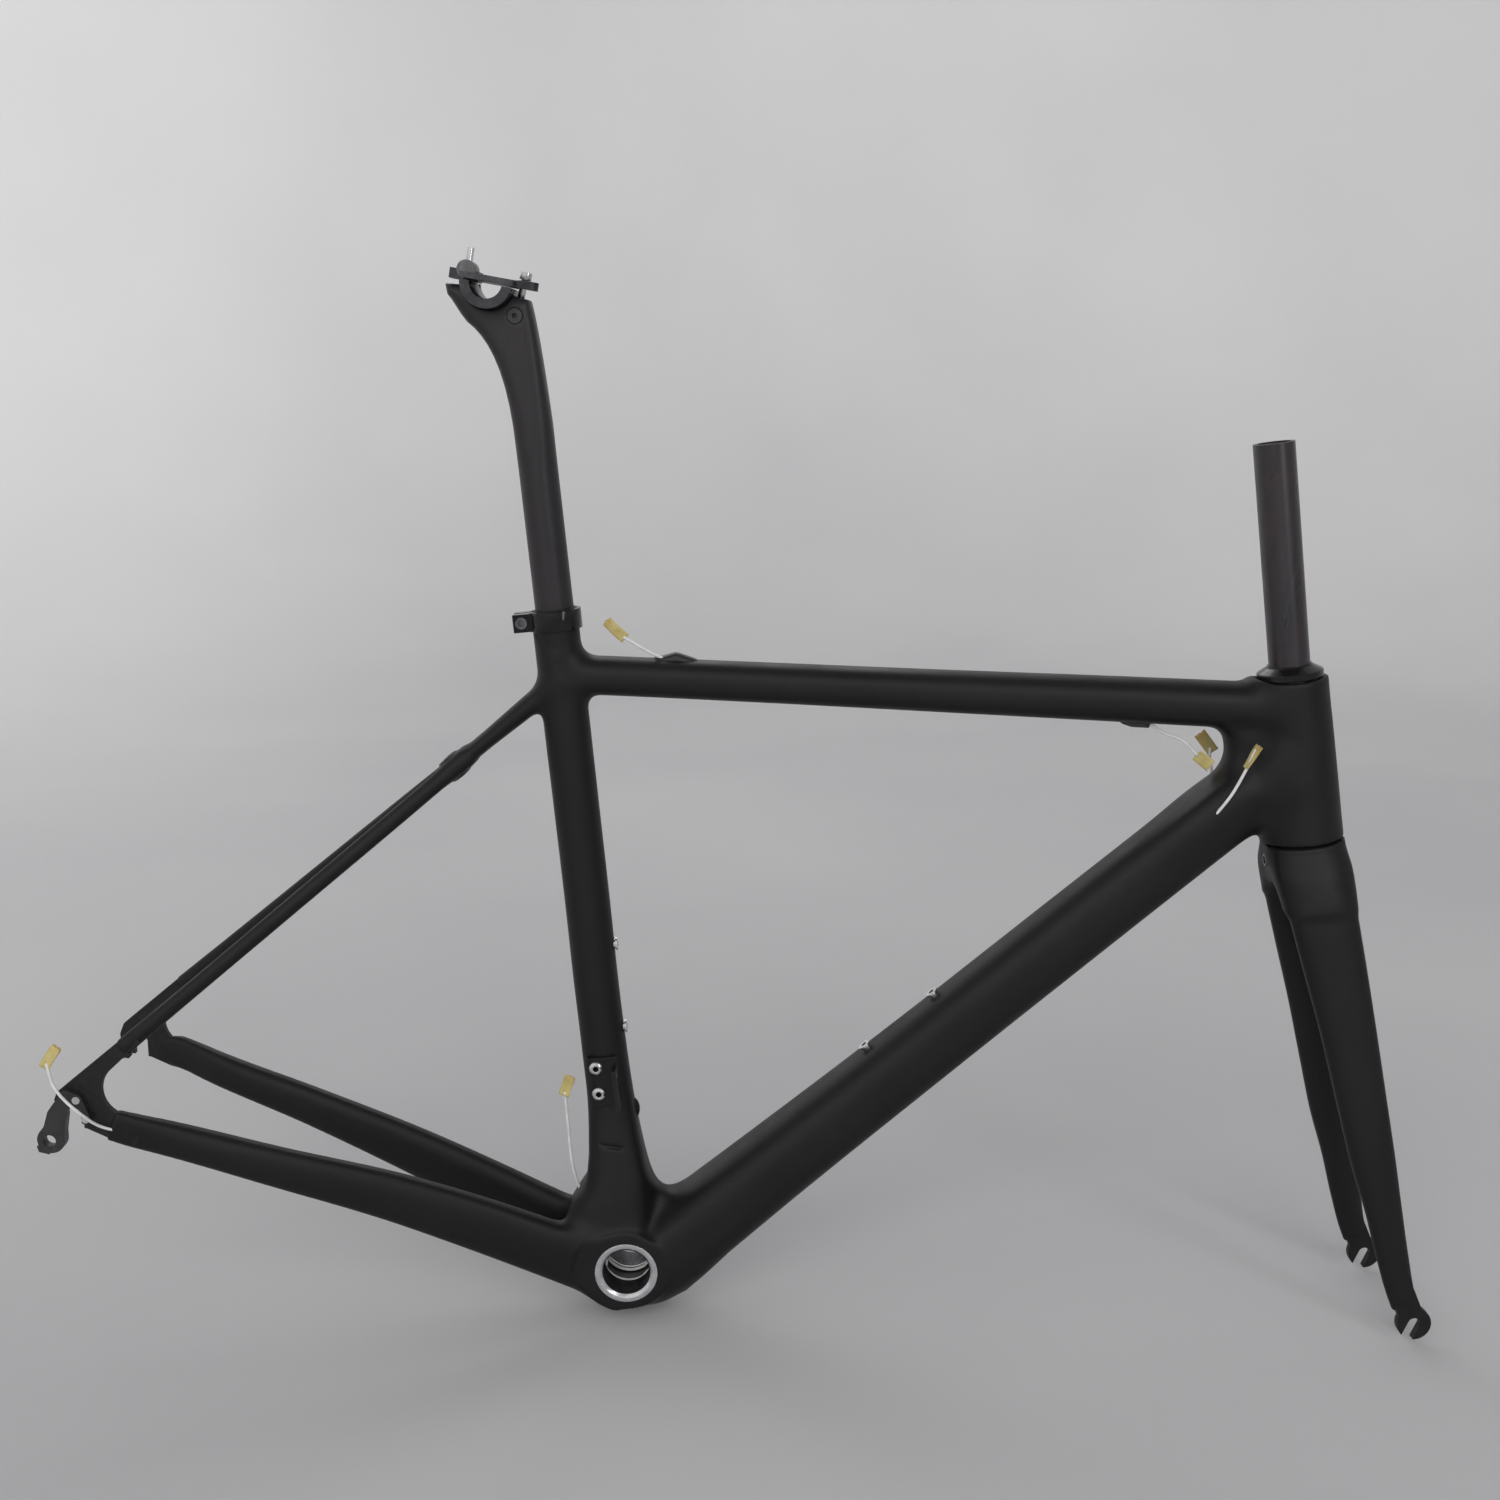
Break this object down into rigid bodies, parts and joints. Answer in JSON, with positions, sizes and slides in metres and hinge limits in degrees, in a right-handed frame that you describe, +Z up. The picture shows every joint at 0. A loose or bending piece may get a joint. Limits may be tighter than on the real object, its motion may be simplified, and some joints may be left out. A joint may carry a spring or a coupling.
{
  "type": "bicycle frameset",
  "caption": "Carbon road bicycle frameset for rim brakes: frame with a turning fork, headset, height-adjustable seatpost and tilting saddle clamp.",
  "frame": {"origin": "centre of the bottom bracket shell", "axes": "+X forward along the wheelbase with both axles level, +Y to the rider's left, +Z up"},
  "size_m": [1.0171, 0.1536, 0.7385],
  "materials": {
    "frame_carbon": "satin carbon fibre",
    "fork_carbon": "satin carbon fibre",
    "steerer_carbon": "bare ground carbon fibre",
    "post_carbon": "satin carbon fibre",
    "cup_alloy": "bright turned",
    "black_alloy": "black anodised",
    "grey_alloy": "grey anodised",
    "steel": "bright",
    "bearing_steel": "ground",
    "cage_plastic": "moulded",
    "port_plastic": "moulded",
    "liner_plastic": "translucent white",
    "tape": "adhesive tape"
  },
  "bodies": {
    "frame": {"front_triangle": "frame_carbon", "chainstay_right": "frame_carbon", "chainstay_left": "frame_carbon", "seatstays": "frame_carbon", "dropout_right": "frame_carbon", "dropout_left": "frame_carbon", "bb_cup_right": "cup_alloy", "bb_cup_left": "cup_alloy", "derailleur_hanger": "black_alloy", "hanger_screws": "steel", "rear_brake_sleeve": "steel", "bottle_bosses": "steel", "seat_collar": "black_alloy", "seat_collar_bolt": "steel", "front_mech_bracket": "black_alloy", "front_mech_rivets": "steel", "brake_port_rear": "port_plastic", "brake_port_front": "port_plastic", "gear_port_right": "port_plastic", "gear_port_left": "port_plastic", "cable_exit_guide": "port_plastic", "brake_liner": "liner_plastic", "rear_gear_liner": "liner_plastic", "front_gear_liner": "liner_plastic", "liner_tags": "tape", "upper_outer_race": "bearing_steel", "lower_outer_race": "bearing_steel"},
    "fork": {"fork_blades": "fork_carbon", "steerer_tube": "steerer_carbon", "fork_ends": "fork_carbon", "front_brake_sleeve": "steel", "crown_race": "bearing_steel", "lower_inner_race": "bearing_steel", "upper_inner_race": "bearing_steel", "compression_ring": "black_alloy", "headset_cover": "black_alloy"},
    "upper_balls": {"upper_bearing_balls": "bearing_steel", "upper_ball_cage": "cage_plastic"},
    "lower_balls": {"lower_bearing_balls": "bearing_steel", "lower_ball_cage": "cage_plastic"},
    "seatpost": {"seatpost": "post_carbon"},
    "front_nut": {"front_barrel_nut": "black_alloy"},
    "front_bolt": {"front_clamp_bolt": "steel"},
    "saddle_clamp": {"lower_cradle": "black_alloy", "upper_clamp": "black_alloy"},
    "rear_bolt": {"rear_clamp_bolt": "steel"},
    "rear_nut": {"rear_barrel_nut": "grey_alloy"}
  },
  "joints": [
    {"name": "steering", "type": "hinge", "parent": "frame", "child": "fork", "pos_m": [0.42634, 0, 0.40735], "axis": [-0.304, 0, 0.9527], "range_deg": [-75, 75]},
    {"name": "upper_balls_roll", "type": "hinge", "parent": "frame", "child": "upper_balls", "pos_m": [0.42634, 0, 0.40735], "axis": [-0.304, 0, 0.9527], "range_deg": [-36, 36]},
    {"name": "lower_balls_roll", "type": "hinge", "parent": "frame", "child": "lower_balls", "pos_m": [0.42634, 0, 0.40735], "axis": [-0.304, 0, 0.9527], "range_deg": [-36, 36]},
    {"name": "seatpost_height", "type": "slide", "parent": "frame", "child": "seatpost", "axis": [-0.2656, 0, 0.9641], "range_m": [-0.085, 0.06]},
    {"name": "saddle_tilt", "type": "hinge", "parent": "seatpost", "child": "saddle_clamp", "pos_m": [-0.2075, 0, 0.688], "axis": [0, 1, 0], "range_deg": [-5, 5]},
    {"name": "front_nut_pivot", "type": "hinge", "parent": "seatpost", "child": "front_nut", "pos_m": [-0.187, 0, 0.6697], "axis": [0, 1, 0], "range_deg": [-2, 2]},
    {"name": "front_bolt_slide", "type": "slide", "parent": "front_nut", "child": "front_bolt", "axis": [-0.0728, 0, -0.9973], "range_m": [-0.0025, 0.0025]},
    {"name": "rear_bolt_pivot", "type": "hinge", "parent": "seatpost", "child": "rear_bolt", "pos_m": [-0.2242, 0, 0.675], "axis": [0, 1, 0], "range_deg": [-2, 2]},
    {"name": "rear_nut_slide", "type": "slide", "parent": "rear_bolt", "child": "rear_nut", "axis": [0, 0, 1], "range_m": [-0.002, 0.002]}
  ],
  "couplings": [
    {"joint": "upper_balls_roll", "follows": "steering", "ratio": 0.468},
    {"joint": "lower_balls_roll", "follows": "steering", "ratio": 0.475},
    {"joint": "front_nut_pivot", "follows": "saddle_tilt", "ratio": 0.318},
    {"joint": "front_bolt_slide", "follows": "saddle_tilt", "m_per_rad": 0.0218},
    {"joint": "rear_bolt_pivot", "follows": "saddle_tilt", "ratio": 0.316},
    {"joint": "rear_nut_slide", "follows": "saddle_tilt", "m_per_rad": 0.0167}
  ]
}
